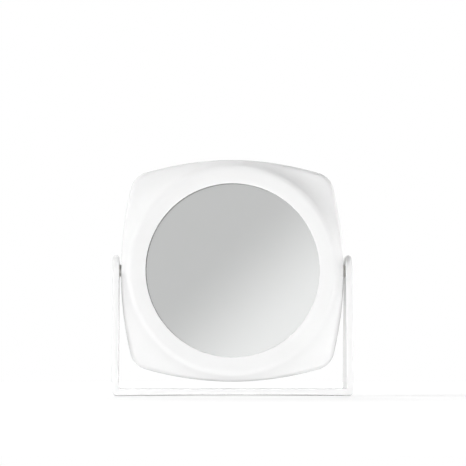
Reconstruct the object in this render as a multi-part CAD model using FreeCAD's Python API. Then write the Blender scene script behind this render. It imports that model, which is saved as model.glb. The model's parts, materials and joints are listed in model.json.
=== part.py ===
import FreeCAD
import Part
import math
import os

Vector = FreeCAD.Vector

# Two-sided table mirror: a swivel head of two shells hung between the uprights of a U-shaped stand.
# Millimetres. +Z is up, the magnifying side faces -Y, X runs across.
# The origin is on the table, under the middle of the stand.

# Stand
stand_depth = 42.0
base_bar_height = 5.4
base_arch_rise = 1.6
foot_length = 10.0
stand_corner_radius = 4.2
stand_inner_fillet = 1.0
stand_edge_round = 1.3
upright_crown_radius = 11.8
upright_web_thickness = 1.4
head_swing_clearance = 5.2

# Head front, outwards from the mirror's centre. Heights count from the parting plane.
mirror_view_radius = 65.0
ring_face_width = 12.4
ring_height = 13.4
ring_shoulder_round = 6.5
lip_drop = 1.3
lip_chamfer = 0.6
cove_width = 7.6
cove_drop = 6.6
cove_round = 20.0
wing_slope = 0.1125
head_edge_round = 3.9
shell_wall = 2.0
least_round = 0.3
parting_reveal = 0.3

# Head outline, seen from the front: four shallow side arcs joined by corner arcs
side_margin = 6.1
top_margin = 5.6
side_arc_radius = 272.0
top_arc_radius = 235.0
corner_arc_radius = 16.2

# Glass, its seat and the packing behind it
lip_overlap = 2.6
glass_thickness = 2.0
glass_side_clearance = 0.4
glass_seat_gap = 0.05
lip_thickness = 1.7
magnifier_curve_radius = 650.0
glass_bevel = 0.4
locating_rib_thickness = 1.6
locating_rib_length = 3.9
foam_ring_width = 15.0
packing_edge_gap = 1.6
packing_gap = 0.1
core_board_thickness = 2.0

# Joint between the two shells
tongue_fit = 0.15
tongue_thickness = 1.1
tongue_reach = 1.8
tongue_root = 3.0
tongue_boss_gap = 1.0
barb_length = 10.0
barb_height = 0.7
barb_bite = 0.5
barb_clearance = 0.2
barb_offset = 34.0
locating_pin_radius = 2.5
locating_pin_reach = 3.0
socket_wall = 1.5
socket_fit = 0.1
socket_end_gap = 0.3

# Pivot hardware
pivot_radius = 2.0
pivot_running_clearance = 0.05
pivot_play = 0.1
screw_length = 14.0
screw_tip_chamfer = 0.5
screw_head_overhang = 1.8
screw_head_height = 1.6
screw_head_room = 0.4
drive_slot_width = 0.8
drive_slot_length = 4.0
drive_slot_depth = 0.9
screw_hole_clearance = 0.2
screw_boss_wall = 1.4
screw_boss_end_room = 1.0
boss_web_thickness = 3.0
nut_wall = 1.5
nut_thickness = 3.2
nut_pocket_clearance = 0.1
nut_end_cover = 1.5
friction_washer_width = 2.5
friction_washer_thickness = 0.5
bush_wall = 0.95
bush_flange_thickness = 0.6
bush_seat_clearance = 0.02
spring_washer_inset = 0.1
spring_washer_thickness = 0.3
spring_washer_rise = 0.2
washer_bore_clearance = 0.2
washer_face_gap = 0.05
cap_ledge = 0.95
cap_thickness = 1.0
cap_skirt_length = 0.8
cap_skirt_wall = 0.55
cap_fit = 0.1

# How far a cutting shape runs past what it cuts
overshoot = 1.0

# Radii and heights of the head's front
ring_corner_radius = mirror_view_radius + ring_face_width
lip_height = ring_height - lip_drop
cove_corner_radius = ring_corner_radius + cove_width
cove_height = ring_height - cove_drop
head_half_width = ring_corner_radius + side_margin
head_half_height = ring_corner_radius + top_margin
far_height = 2 * ring_height

# Places along the pivot axis, counted from the middle of the head
bush_flange_inner = head_half_width + friction_washer_thickness + pivot_play
stand_inner_half_width = bush_flange_inner + bush_flange_thickness
counterbore_floor = stand_inner_half_width + upright_web_thickness
screw_seat = counterbore_floor + spring_washer_thickness + spring_washer_rise + 2 * washer_face_gap
screw_head_top = screw_seat + screw_head_height
cap_seat = screw_head_top + screw_head_room
stand_outer_half_width = cap_seat + cap_thickness
screw_tip = screw_seat - screw_length
boss_inner_end = screw_tip - screw_boss_end_room
nut_inner_end = boss_inner_end + nut_end_cover

# Radii about the pivot axis
HEXAGON_CORNERS = 6
screw_hole_radius = pivot_radius + screw_hole_clearance
screw_head_radius = pivot_radius + screw_head_overhang
bush_bore_radius = pivot_radius + pivot_running_clearance
bush_radius = bush_bore_radius + bush_wall
washer_bore_radius = pivot_radius + washer_bore_clearance
friction_washer_radius = pivot_radius + friction_washer_width
spring_washer_radius = screw_head_radius - spring_washer_inset
counterbore_radius = screw_head_radius + screw_head_room + cap_skirt_wall + cap_fit
cap_radius = counterbore_radius + cap_ledge
nut_corner_share = 1 / math.cos(math.pi / HEXAGON_CORNERS)
screw_boss_radius = (pivot_radius + nut_wall + nut_pocket_clearance) * nut_corner_share + screw_boss_wall

# Heights and radii of the glass
pivot_height = base_bar_height + head_swing_clearance + head_half_height
glass_radius = mirror_view_radius + lip_overlap
glass_seat_height = lip_height - lip_thickness
glass_face_height = glass_seat_height - glass_seat_gap
glass_pocket_radius = glass_radius + glass_side_clearance
locating_rib_radius = glass_pocket_radius + locating_rib_thickness
packing_radius = glass_radius - packing_edge_gap

ACROSS = Vector(1, 0, 0)
FRONT_TO_BACK = Vector(0, 1, 0)
UP = Vector(0, 0, 1)
CENTRE = Vector(0, 0, 0)


# Small tools

def path(points):
    """Edges along an open run of points."""
    return [Part.makeLine(start, end) for start, end in zip(points, points[1:])]


def loop(points):
    """Edges of a closed polygon."""
    return path(points + points[:1])


def turned(edges, axis=FRONT_TO_BACK):
    """Solid of revolution of a closed profile."""
    return Part.Face(Part.Wire(edges)).revolve(CENTRE, axis, 360)


def pushed(edges, run):
    """Closed profile pushed along a straight run into a solid."""
    return Part.Face(Part.Wire(edges)).extrude(run)


def rod(radius, start, end):
    """Round bar about the pivot axis."""
    return Part.makeCylinder(radius, end - start, Vector(start, 0, 0), ACROSS)


def sleeve(outer, inner, start, end):
    """Flat ring or tube about the pivot axis."""
    return rod(outer, start, end).cut(rod(inner, start, end))


def post(radius, centre, start, end):
    """Round post square to the parting plane, between two heights."""
    foot = Vector(centre.x, -end, centre.z)
    return Part.makeCylinder(radius, end - start, foot, FRONT_TO_BACK)


def block(low, high):
    """Box between two corners."""
    size = high - low
    return Part.makeBox(size.x, size.y, size.z, low)


def other_end(shape):
    """The same piece turned half round the upright axis, to the other side."""
    return shape.rotated(CENTRE, UP, 180)


def both_ends(shape):
    return shape.fuse(other_end(shape))


def circles_meet(centre_a, radius_a, centre_b, radius_b):
    """The meeting point of two circles that lies furthest to the upper right."""
    span = centre_b - centre_a
    distance = span.Length
    along = (radius_a ** 2 - radius_b ** 2 + distance ** 2) / (2 * distance)
    across = math.sqrt(radius_a ** 2 - along ** 2)
    middle = centre_a + span * (along / distance)
    normal = Vector(-span.z, 0, span.x) * (across / distance)
    return max(middle + normal, middle - normal, key=lambda point: point.x + point.z)


def rounded_corner(before, corner, after, radius):
    """Where an arc of the given radius starts, passes and ends at a corner."""
    towards_before = (before - corner).normalize()
    towards_after = (after - corner).normalize()
    half_angle = towards_before.getAngle(towards_after) / 2
    setback = radius / math.tan(half_angle)
    bisector = (towards_before + towards_after).normalize()
    middle = corner + bisector * (radius / math.sin(half_angle) - radius)
    return corner + towards_before * setback, middle, corner + towards_after * setback


def rounded_run(points, radii):
    """Edges along an open run of points, with an arc at each inner corner."""
    edges = []
    start = points[0]
    for before, corner, after, radius in zip(points, points[1:], points[2:], radii):
        arc = rounded_corner(before, corner, after, radius)
        edges.append(Part.makeLine(start, arc[0]))
        edges.append(Part.Arc(*arc).toShape())
        start = arc[2]
    edges.append(Part.makeLine(start, points[-1]))
    return edges


# Outline of the head

side_centre = Vector(head_half_width - side_arc_radius, 0, 0)
top_centre = Vector(0, 0, head_half_height - top_arc_radius)
corner_centre = circles_meet(
    side_centre, side_arc_radius - corner_arc_radius,
    top_centre, top_arc_radius - corner_arc_radius)
side_direction = (corner_centre - side_centre).normalize()
top_direction = (corner_centre - top_centre).normalize()
corner_direction = (side_direction + top_direction).normalize()


def at_corners(point):
    """A point's places in the four quarters, anticlockwise from the upper right."""
    signs = [(1, 1), (-1, 1), (-1, -1), (1, -1)]
    return [Vector(point.x * across, point.y, point.z * up) for across, up in signs]


def outline(inset):
    """Closed outline of the head, moved inwards by an even distance."""
    sides = at_corners(side_centre + side_direction * (side_arc_radius - inset))
    tops = at_corners(top_centre + top_direction * (top_arc_radius - inset))
    corners = at_corners(corner_centre + corner_direction * (corner_arc_radius - inset))
    side_middle = Vector(head_half_width - inset, 0, 0)
    top_middle = Vector(0, 0, head_half_height - inset)
    arcs = [
        (sides[3], side_middle, sides[0]), (sides[0], corners[0], tops[0]),
        (tops[0], top_middle, tops[1]), (tops[1], corners[1], sides[1]),
        (sides[1], side_middle * -1, sides[2]), (sides[2], corners[2], tops[2]),
        (tops[2], top_middle * -1, tops[3]), (tops[3], corners[3], sides[3])]
    return [Part.Arc(*arc).toShape() for arc in arcs]


def slab(inset, start, end):
    """The head's outline as a block between two heights."""
    return pushed(outline(inset), Vector(0, start - end, 0)).translated(Vector(0, -start, 0))


def band(outer_inset, inner_inset, start, end):
    """A wall that follows the head's outline between two heights."""
    return slab(outer_inset, start, end).cut(slab(inner_inset, start, end))


# Front of the head, turned about the mirror's axis. Heights count from the parting plane towards -Y.

def at_height(radius, height):
    return Vector(radius, -height, 0)


wing_tip_radius = corner_centre.Length + corner_arc_radius + overshoot
wing_tip_height = cove_height - wing_slope * (wing_tip_radius - cove_corner_radius)
front_corners = [
    at_height(mirror_view_radius, lip_height),
    at_height(ring_corner_radius, ring_height),
    at_height(cove_corner_radius, cove_height),
    at_height(wing_tip_radius, wing_tip_height)]


def sunk(corners, depth):
    """The front's corners moved inwards by an even distance."""
    shifted = []
    for start, end in zip(corners, corners[1:]):
        run = (end - start).normalize()
        shifted.append((start + Vector(-run.y, run.x, 0) * depth, run))
    moved = [shifted[0][0]]
    for (start_a, run_a), (start_b, run_b) in zip(shifted, shifted[1:]):
        gap = start_b - start_a
        reach = (gap.x * run_b.y - gap.y * run_b.x) / (run_a.x * run_b.y - run_a.y * run_b.x)
        moved.append(start_a + run_a * reach)
    start, run = shifted[-1]
    moved.append(start + run * ((corners[-1].x - start.x) / run.x))
    return moved


def is_upright_side(face):
    """True on the outline's own arcs, false on what is turned about the mirror's axis."""
    surface = face.Surface
    if not isinstance(surface, Part.Cylinder):
        return False
    off_axis = Vector(surface.Center.x, 0, surface.Center.z).Length
    return abs(surface.Axis.y) > abs(surface.Axis.x) and off_axis > corner_arc_radius


def rim_edges(solid):
    """Edges where the turned front meets the upright sides of the head."""
    found = []
    for edge in solid.Edges:
        faces = solid.ancestorsOfType(edge, Part.Face)
        sides = [face for face in faces if is_upright_side(face)]
        flats = [face for face in faces if isinstance(face.Surface, Part.Plane)]
        if len(faces) == 2 and len(sides) == 1 and not flats:
            found.append(edge)
    return found


def trimmed_to_outline(profile, inset, edge_round):
    """A turned solid cut to the head's outline, with its front edge rounded."""
    solid = turned(profile).common(slab(inset, 0, far_height)).Solids[0]
    return solid.makeFillet(edge_round, rim_edges(solid))


def head_half():
    """Outside of one half of the head, with no hollow."""
    lip = front_corners[0]
    tip = front_corners[-1]
    profile = path([tip, at_height(tip.x, 0), CENTRE, Vector(0, lip.y, 0), lip])
    profile += rounded_run(front_corners, [ring_shoulder_round, cove_round])
    return trimmed_to_outline(profile, 0, head_edge_round)


def shell_hollow():
    """Room inside one half of the head, with the glass pocket and the rib that centres the glass."""
    corners = sunk(front_corners, shell_wall)
    slope = (corners[1].y - corners[0].y) / (corners[1].x - corners[0].x)
    ring_start = corners[0].y + slope * (locating_rib_radius - corners[0].x)
    corners[0] = Vector(locating_rib_radius, ring_start, 0)
    rib_end = glass_seat_height - locating_rib_length
    tip = corners[-1]
    profile = path([
        tip, at_height(tip.x, 0), CENTRE, at_height(0, glass_seat_height),
        at_height(glass_pocket_radius, glass_seat_height), at_height(glass_pocket_radius, rib_end),
        at_height(locating_rib_radius, rib_end), corners[0]])
    shoulder_round = max(ring_shoulder_round - shell_wall, least_round)
    edge_round = max(head_edge_round - shell_wall, least_round)
    profile += rounded_run(corners, [shoulder_round, cove_round + shell_wall])
    return trimmed_to_outline(profile, shell_wall, edge_round)


def mirror_window():
    """The round opening in the lip, opened out a little at the front."""
    flare_start = lip_height - lip_chamfer
    flare_radius = mirror_view_radius + far_height - flare_start
    return turned(loop([
        CENTRE, at_height(mirror_view_radius, 0), at_height(mirror_view_radius, flare_start),
        at_height(flare_radius, far_height), at_height(0, far_height)]))


# Shells

def nut_prism(clearance):
    """The hexagon of the captive nut, with a flat on each side of the parting plane."""
    corner_radius = (pivot_radius + nut_wall + clearance) * nut_corner_share
    corners = []
    for corner in range(HEXAGON_CORNERS):
        angle = 2 * math.pi * corner / HEXAGON_CORNERS
        corners.append(Vector(0, corner_radius * math.sin(angle), corner_radius * math.cos(angle)))
    length = nut_thickness + 2 * clearance
    prism = pushed(loop(corners), Vector(length, 0, 0))
    return prism.translated(Vector(nut_inner_end - clearance, 0, 0))


def pivot_boss(outside):
    """Half of the block that holds the pivot screw and its nut, on both sides of a shell."""
    barrel = rod(screw_boss_radius, boss_inner_end, head_half_width)
    half_low = Vector(boss_inner_end, -far_height, -far_height)
    half = block(half_low, Vector(head_half_width, 0, far_height))
    web_start = max(boss_inner_end, locating_rib_radius)
    web_low = Vector(web_start, -far_height, -boss_web_thickness / 2)
    web = block(web_low, Vector(head_half_width, 0, boss_web_thickness / 2)).common(outside)
    right = barrel.common(half).fuse(web)
    left = right.mirror(CENTRE, ACROSS)
    return right.fuse(left)


def pivot_room():
    """Screw holes and nut pockets on both sides."""
    hole = rod(screw_hole_radius, boss_inner_end - overshoot, head_half_width + overshoot)
    return both_ends(hole.fuse(nut_prism(nut_pocket_clearance)))


def barb_places(clearance):
    """Blocks that pick out the eight short lengths of rim where the shells snap together."""
    reach = 2 * head_half_width
    near = barb_offset - barb_length / 2 - clearance
    far = barb_offset + barb_length / 2 + clearance
    upright = block(Vector(near, -reach, -reach), Vector(far, reach, reach))
    level = block(Vector(-reach, -reach, near), Vector(reach, reach, far))
    right = upright.fuse(level).fuse(level.mirror(CENTRE, UP))
    return right.fuse(upright.mirror(CENTRE, ACROSS))


def bare_shell(outside):
    """One shell as both sides share it: walls, lip, glass pocket and pivot boss."""
    reveal = slab(-overshoot, -overshoot, parting_reveal / 2)
    shell =outside.cut(shell_hollow()).fuse(pivot_boss(outside))
    return shell.cut(mirror_window()).cut(pivot_room()).cut(reveal)


def front_shell(bare, outside):
    """Shell of the magnifying side, with locating pins and the pockets that the barbs snap into."""
    pocket_start = tongue_reach - barb_height - barb_clearance
    pocket_end = tongue_reach + barb_clearance
    pocket_floor = shell_wall - barb_bite - barb_clearance
    pockets = band(pocket_floor, shell_wall + tongue_fit, pocket_start, pocket_end)
    shell =bare.cut(pockets.common(barb_places(barb_clearance)))
    for centre in at_corners(corner_centre):
        rooted = post(locating_pin_radius, centre, 0, far_height).common(outside)
        shell = shell.fuse(rooted).fuse(post(locating_pin_radius, centre, -locating_pin_reach, 0))
    return shell.removeSplitter()


def rear_shell(bare, outside):
    """Shell of the plain side, with sockets, and a tongue with barbs that closes the parting line."""
    tongue_outer = shell_wall + tongue_fit
    tongue_inner = tongue_outer + tongue_thickness
    tongue = band(tongue_outer, tongue_inner, -tongue_reach, tongue_root)
    root = band(shell_wall / 2, tongue_inner, parting_reveal, tongue_root).common(outside)
    barbs = band(shell_wall - barb_bite, tongue_inner, -tongue_reach, barb_height - tongue_reach)
    half_gap = screw_boss_radius + tongue_boss_gap
    boss_gap = block(Vector(-stand_outer_half_width, -tongue_root, -half_gap),
                     Vector(stand_outer_half_width, far_height, half_gap))
    closing = tongue.fuse(root).fuse(barbs.common(barb_places(0))).cut(boss_gap)
    shell = bare.fuse(closing)
    socket_radius = locating_pin_radius + socket_fit
    for centre in at_corners(corner_centre):
        tube = post(socket_radius + socket_wall, centre, parting_reveal / 2, far_height).common(outside)
        hole = post(socket_radius, centre, 0, locating_pin_reach + socket_end_gap)
        shell = shell.fuse(tube).cut(hole)
    return other_end(shell.removeSplitter())


# Glass and packing

curve_centre_height = glass_face_height + math.sqrt(magnifier_curve_radius ** 2 - glass_radius ** 2)


def dish_height(radius, depth):
    """Height of the magnifying glass at a radius, at a depth behind its front."""
    return curve_centre_height - math.sqrt((magnifier_curve_radius + depth) ** 2 - radius ** 2)


def dish_arc(inner, outer, depth):
    """Arc across the magnifying glass between two radii."""
    radii = (inner, (inner + outer) / 2, outer)
    return Part.Arc(*[at_height(radius, dish_height(radius, depth)) for radius in radii]).toShape()


def magnifying_mirror():
    front_middle = at_height(0, dish_height(0, 0))
    back_middle = at_height(0, dish_height(0, glass_thickness))
    front_rim = at_height(glass_radius, dish_height(glass_radius, 0))
    back_rim = at_height(glass_radius, dish_height(glass_radius, glass_thickness))
    edges = [dish_arc(0, glass_radius, 0), Part.makeLine(front_rim, back_rim)]
    edges += [dish_arc(0, glass_radius, glass_thickness), Part.makeLine(back_middle, front_middle)]
    return turned(edges)


def plain_mirror():
    back = glass_face_height - glass_thickness
    bevelled = at_height(glass_radius - glass_bevel, glass_face_height)
    side = at_height(glass_radius, glass_face_height - glass_bevel)
    middle = [at_height(0, back), at_height(0, glass_face_height)]
    return other_end(turned(loop(middle + [bevelled, side, at_height(glass_radius, back)])))


board_front = dish_height(0, glass_thickness) - packing_gap
board_back = board_front - core_board_thickness


def front_foam_ring():
    """Ring that fills the space behind the magnifying glass's rim."""
    inner = packing_radius - foam_ring_width
    depth = glass_thickness + packing_gap
    inner_top = at_height(inner, dish_height(inner, depth))
    outer_top = at_height(packing_radius, dish_height(packing_radius, depth))
    seat = [at_height(packing_radius, board_front), at_height(inner, board_front)]
    return turned(path([outer_top] + seat + [inner_top]) + [dish_arc(inner, packing_radius, depth)])


def disc(start, end):
    return post(packing_radius, CENTRE, start, end)


# Pivot hardware for the right-hand side

def pivot_screw():
    tip = screw_tip
    chamfered = pivot_radius - screw_tip_chamfer
    profile = [
        Vector(tip, 0, 0), Vector(tip, chamfered, 0), Vector(tip + screw_tip_chamfer, pivot_radius, 0),
        Vector(screw_seat, pivot_radius, 0), Vector(screw_seat, screw_head_radius, 0),
        Vector(screw_head_top, screw_head_radius, 0), Vector(screw_head_top, 0, 0)]
    screw = turned(loop(profile), ACROSS)
    slot_floor = screw_head_top - drive_slot_depth
    half_width = drive_slot_width / 2
    half_length = drive_slot_length / 2
    for half_y, half_z in [(half_width, half_length), (half_length, half_width)]:
        screw = screw.cut(block(Vector(slot_floor, -half_y, -half_z), Vector(cap_seat, half_y, half_z)))
    return screw


def pivot_nut():
    return nut_prism(0).cut(rod(bush_bore_radius, boss_inner_end, screw_seat))


def friction_washer():
    end = head_half_width + friction_washer_thickness
    return sleeve(friction_washer_radius, washer_bore_radius, head_half_width, end)


def pivot_bush():
    flange = sleeve(friction_washer_radius, bush_bore_radius, bush_flange_inner, stand_inner_half_width)
    tube = sleeve(bush_radius, bush_bore_radius, bush_flange_inner, counterbore_floor)
    return flange.fuse(tube).removeSplitter()


def spring_washer():
    """Cone washer that bears on the counterbore's floor and pushes on the screw head."""
    start = counterbore_floor + washer_face_gap
    bore = washer_bore_radius
    rise = Vector(spring_washer_rise, 0, 0)
    thick = Vector(spring_washer_thickness, 0, 0)
    rim = Vector(start, spring_washer_radius, 0)
    eye = Vector(start, bore, 0) + rise
    return turned(loop([rim, eye, eye + thick, rim + thick]), ACROSS)


def pivot_cap():
    skirt_radius = counterbore_radius - cap_fit
    lid = rod(cap_radius, cap_seat, stand_outer_half_width)
    skirt = sleeve(skirt_radius, skirt_radius - cap_skirt_wall, cap_seat - cap_skirt_length, cap_seat)
    return lid.fuse(skirt).removeSplitter()


# Stand, in its own place above the table

def front_profile():
    """The U, seen from the front, run up past the crowns."""
    top = pivot_height + 2 * upright_crown_radius
    outer = stand_outer_half_width
    inner = stand_inner_half_width
    outside = [
        Vector(-outer, 0, top), Vector(-outer, 0, 0), Vector(outer, 0, 0), Vector(outer, 0, top)]
    inside = [
        Vector(inner, 0, top), Vector(inner, 0, base_bar_height),
        Vector(-inner, 0, base_bar_height), Vector(-inner, 0, top)]
    edges = rounded_run(outside, [stand_corner_radius] * 2)
    edges += path([outside[-1], inside[0]])
    edges += rounded_run(inside, [stand_inner_fillet] * 2)
    edges += path([inside[-1], outside[0]])
    return edges


def side_profile():
    """An upright, seen from the side: a round crown about the pivot that widens down to the base."""
    half = stand_depth / 2
    crown = Vector(0, 0, pivot_height)
    foot = Vector(0, half, 0)
    reach = foot - crown
    turn = math.acos(upright_crown_radius / reach.Length)
    angle = math.atan2(reach.z, reach.y) + turn
    edge_y = upright_crown_radius * math.cos(angle)
    edge_z = pivot_height + upright_crown_radius * math.sin(angle)
    points = [Vector(0, edge_y, edge_z), foot, foot * -1, Vector(0, -edge_y, edge_z)]
    top = Vector(0, 0, pivot_height + upright_crown_radius)
    return path(points) + [Part.Arc(points[-1], top, points[0]).toShape()]


def stand_rim(solid):
    """Edges along the front and back of the stand, round its crowns and along its feet."""
    found = []
    for edge in solid.Edges:
        faces = solid.ancestorsOfType(edge, Part.Face)
        facing = [face for face in faces if faces_front_or_back(face)]
        if len(facing) == 1:
            found.append(edge)
    return found


def faces_front_or_back(face):
    """True on the sloping flats and on the crowns, which are round about the pivot axis."""
    axis = face.Surface.Axis
    if isinstance(face.Surface, Part.Cylinder):
        return abs(axis.x) > abs(axis.y)
    return abs(axis.y) > max(abs(axis.x), abs(axis.z))


def stand_yoke():
    depth = Vector(0, stand_depth, 0)
    width = Vector(2 * (stand_outer_half_width + overshoot), 0, 0)
    seen_from_front = pushed(front_profile(), depth).translated(depth * -0.5)
    seen_from_side = pushed(side_profile(), width).translated(width * -0.5)
    yoke = seen_from_front.common(seen_from_side).Solids[0]
    yoke = yoke.makeFillet(stand_edge_round, stand_rim(yoke))
    arch_end = Vector(stand_outer_half_width - stand_corner_radius - foot_length, 0, 0)
    arch = Part.Arc(arch_end * -1, Vector(0, 0, base_arch_rise), arch_end).toShape()
    arch_block = pushed([arch, Part.makeLine(arch_end, arch_end * -1)], depth).translated(depth * -0.5)
    bush_hole = rod(bush_radius + bush_seat_clearance, 0, stand_outer_half_width)
    counterbore = rod(counterbore_radius, counterbore_floor, stand_outer_half_width)
    cap_recess = rod(cap_radius + cap_fit, cap_seat, stand_outer_half_width)
    holes = both_ends(bush_hole.fuse(counterbore).fuse(cap_recess))
    return yoke.cut(arch_block).cut(holes.translated(UP * pivot_height))


# Every piece at rest

def pieces():
    outside = head_half()
    bare = bare_shell(outside)
    head = {
        "front_shell": front_shell(bare, outside),
        "rear_shell": rear_shell(bare, outside),
        "magnifying_mirror": magnifying_mirror(),
        "plain_mirror": plain_mirror(),
        "front_foam_ring": front_foam_ring(),
        "core_board": disc(board_back, board_front),
        "rear_foam_disc": disc(glass_thickness - glass_face_height, board_back)}
    pivot = {
        "pivot_screw": pivot_screw(),
        "pivot_nut": pivot_nut(),
        "friction_washer": friction_washer(),
        "pivot_bush": pivot_bush(),
        "spring_washer": spring_washer(),
        "pivot_cap": pivot_cap()}
    for name, right in pivot.items():
        head["right_" + name] = right
        head["left_" + name] = other_end(right)
    placed = {name: shape.translated(UP * pivot_height) for name, shape in head.items()}
    placed["stand_yoke"] = stand_yoke()
    return placed


os.makedirs("parts", exist_ok=True)
for node, shape in pieces().items():
    shape.exportStep("parts/" + node + ".step")
    print(node, len(shape.Solids), "solid", round(shape.Volume), "mm3, valid", shape.isValid())
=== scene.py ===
# %% [markdown]
# # A table mirror that turns over in its stand
#
# This lesson dresses a two-sided table mirror: a rounded-square head with a round glass on each side,
# hung between the uprights of a U-shaped stand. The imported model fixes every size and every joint.
# Here the outer mouldings and the two glasses are modelled again as clean meshes in the same places,
# and every surface gets a finish. Sizes below are in millimetres, and Blender works in metres.

# %% Load the frame and keep its box
import json
import math
import bmesh
import bpy
import numpy as np
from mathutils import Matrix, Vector, geometry


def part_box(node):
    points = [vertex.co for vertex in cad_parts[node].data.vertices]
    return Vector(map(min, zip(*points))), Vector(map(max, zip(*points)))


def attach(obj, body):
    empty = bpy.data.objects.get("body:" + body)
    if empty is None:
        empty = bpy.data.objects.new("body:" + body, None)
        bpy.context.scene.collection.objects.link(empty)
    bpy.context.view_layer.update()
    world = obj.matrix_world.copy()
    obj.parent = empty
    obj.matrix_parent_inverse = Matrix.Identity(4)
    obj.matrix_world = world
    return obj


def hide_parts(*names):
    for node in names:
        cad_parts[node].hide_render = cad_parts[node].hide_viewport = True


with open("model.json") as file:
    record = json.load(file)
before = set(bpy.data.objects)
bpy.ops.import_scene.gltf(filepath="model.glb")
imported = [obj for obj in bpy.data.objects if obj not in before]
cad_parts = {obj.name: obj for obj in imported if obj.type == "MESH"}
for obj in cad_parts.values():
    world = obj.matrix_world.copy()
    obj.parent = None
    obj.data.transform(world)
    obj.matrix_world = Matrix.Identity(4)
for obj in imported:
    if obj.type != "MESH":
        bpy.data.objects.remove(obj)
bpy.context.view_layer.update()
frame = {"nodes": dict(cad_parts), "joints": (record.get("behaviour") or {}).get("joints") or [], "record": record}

MM = 0.001

# %% [markdown]
# ## Main sizes
#
# The overall sizes are read from the frame, so the new meshes fit without any fitting. Sizes that no box
# can show, such as the radius of a corner, are written down where a piece needs them.

# %% Measure the head, the glass and the stand
def corners_of(node):
    """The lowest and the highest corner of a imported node, in millimetres."""
    return [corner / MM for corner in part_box(node)]


head_high = corners_of("front_shell")[1]
stand_high = corners_of("stand_yoke")[1]
bush_high = corners_of("right_pivot_bush")[1]
glass_low, glass_high = corners_of("plain_mirror")
cap_low, cap_high = corners_of("right_pivot_cap")

pivot_height = frame["joints"][0]["pos_m"][2] / MM
head_half_width = head_high.x
head_half_height = head_high.z - pivot_height
glass_radius = glass_high.x
glass_face = glass_high.y
glass_thickness = glass_high.y - glass_low.y
print("head", round(2 * head_half_width, 1), "by", round(2 * head_half_height, 1), "mm")
print("glass", round(2 * glass_radius, 1), "mm across, pivot", round(pivot_height, 1), "mm up")

# %% [markdown]
# ## Colours and nodes
#
# Colours are written as sRGB hex values, as a paint chart gives them, but shaders work in linear light.
# One function turns the first into the second. Another adds a shader node: it takes the node's kind, what
# goes into its sockets (a plain value, or another node's output) and its settings.

# %% Colour and node helpers
def linear(hex_colour):
    """An sRGB hex colour as linear red, green, blue and alpha."""
    channels = [int(hex_colour[start:start + 2], 16) / 255 for start in (1, 3, 5)]
    return [c / 12.92 if c <= 0.04045 else ((c + 0.055) / 1.055) ** 2.4 for c in channels] + [1.0]


def add_node(tree, kind, sockets=None, **settings):
    """Add a node. Each socket takes a plain value, or another node's output to link from."""
    node = tree.nodes.new(kind)
    for name, value in settings.items():
        setattr(node, name, value)
    for name, value in (sockets or {}).items():
        if isinstance(value, bpy.types.NodeSocket):
            tree.links.new(value, node.inputs[name])
        else:
            node.inputs[name].default_value = value
    return node


def new_finish(name):
    """An empty material, its node tree, and the position on the piece, in metres, for its patterns."""
    finish = bpy.data.materials.new(name)
    finish.use_nodes = True
    finish.node_tree.nodes.clear()
    place = add_node(finish.node_tree, "ShaderNodeTexCoord").outputs["Object"]
    return finish, finish.node_tree, place


def per_metre(size):
    """The scale of a pattern whose features are this many millimetres wide."""
    return 1 / (size * MM)


# A Mix node lists its sockets for every data type, so its colour sockets are found by number.
COLOUR_A = 6
COLOUR_B = 7
COLOUR_RESULT = 2
print("mid grey in linear light:", [round(c, 3) for c in linear("#808080")])

# %% [markdown]
# ## Injection-moulded white polystyrene
#
# The stand, both shells and the pivot caps are white impact polystyrene, moulded in polished steel with a
# light satin grain. To the eye that gives an almost neutral white, a broad soft highlight and a very faint
# unevenness where the melt flowed. The flow marks are about 30 mm wide. The grain of such a mould is near
# 0.1 mm, too fine for this picture, so it is drawn at 0.9 mm and kept very shallow. On the stand the colour
# is painted grey where it meets the table, the bushes and the caps: painted shade, a contact shadow drawn
# into the colour. It could be painted on by hand, but an ambient occlusion node finds those places by
# itself: it tells how open a point is within a short reach.

# %% Make the white polystyrene
# How far the painted contact shade reaches from a neighbouring surface, in millimetres.
contact_shade_reach = 1.4


def moulded_polystyrene(name, light, shade, contact_shade=None):
    """Satin white polystyrene, with painted contact shade in narrow gaps where a colour for it is given."""
    finish, tree, place = new_finish(name)
    flow = add_node(tree, "ShaderNodeTexNoise", {"Vector": place, "Scale": per_metre(30), "Detail": 2.0})
    grain = add_node(tree, "ShaderNodeTexNoise", {"Vector": place, "Scale": per_metre(0.9), "Detail": 3.0})
    colour = add_node(tree, "ShaderNodeMix", {
        "Factor": flow.outputs["Fac"], COLOUR_A: linear(shade), COLOUR_B: linear(light)}, data_type="RGBA")
    # Painted contact shade, not dust: ambient occlusion greys the colour where another surface is within a short
    # reach.
    if contact_shade:
        openness = add_node(tree, "ShaderNodeAmbientOcclusion", {"Distance": contact_shade_reach * MM}, samples=8)
        colour = add_node(tree, "ShaderNodeMix", {
            "Factor": openness.outputs["AO"], COLOUR_A: linear(contact_shade),
            COLOUR_B: colour.outputs[COLOUR_RESULT]}, data_type="RGBA")
    satin = add_node(tree, "ShaderNodeMapRange", {
        "Value": grain.outputs["Fac"], "To Min": 0.16, "To Max": 0.26})
    skin = add_node(tree, "ShaderNodeBump", {
        "Height": grain.outputs["Fac"], "Strength": 0.05, "Distance": 0.1 * MM})
    shader = add_node(tree, "ShaderNodeBsdfPrincipled", {
        "Base Color": colour.outputs[COLOUR_RESULT], "Roughness": satin.outputs["Result"], "IOR": 1.59,
        "Normal": skin.outputs["Normal"]})
    add_node(tree, "ShaderNodeOutputMaterial", {"Surface": shader.outputs["BSDF"]})
    return finish


white_polystyrene = moulded_polystyrene("moulded_white_polystyrene", "#F7F7F7", "#F4F4F4")
# The stand and its caps take painted contact shade in their narrow gaps; the shells don't.
contact_shaded_polystyrene = moulded_polystyrene("white_polystyrene_with_painted_contact_shade", "#FAFAFA", "#F7F7F7", contact_shade="#8E8E8C")
print("made", white_polystyrene.name, "and", contact_shaded_polystyrene.name)

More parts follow.
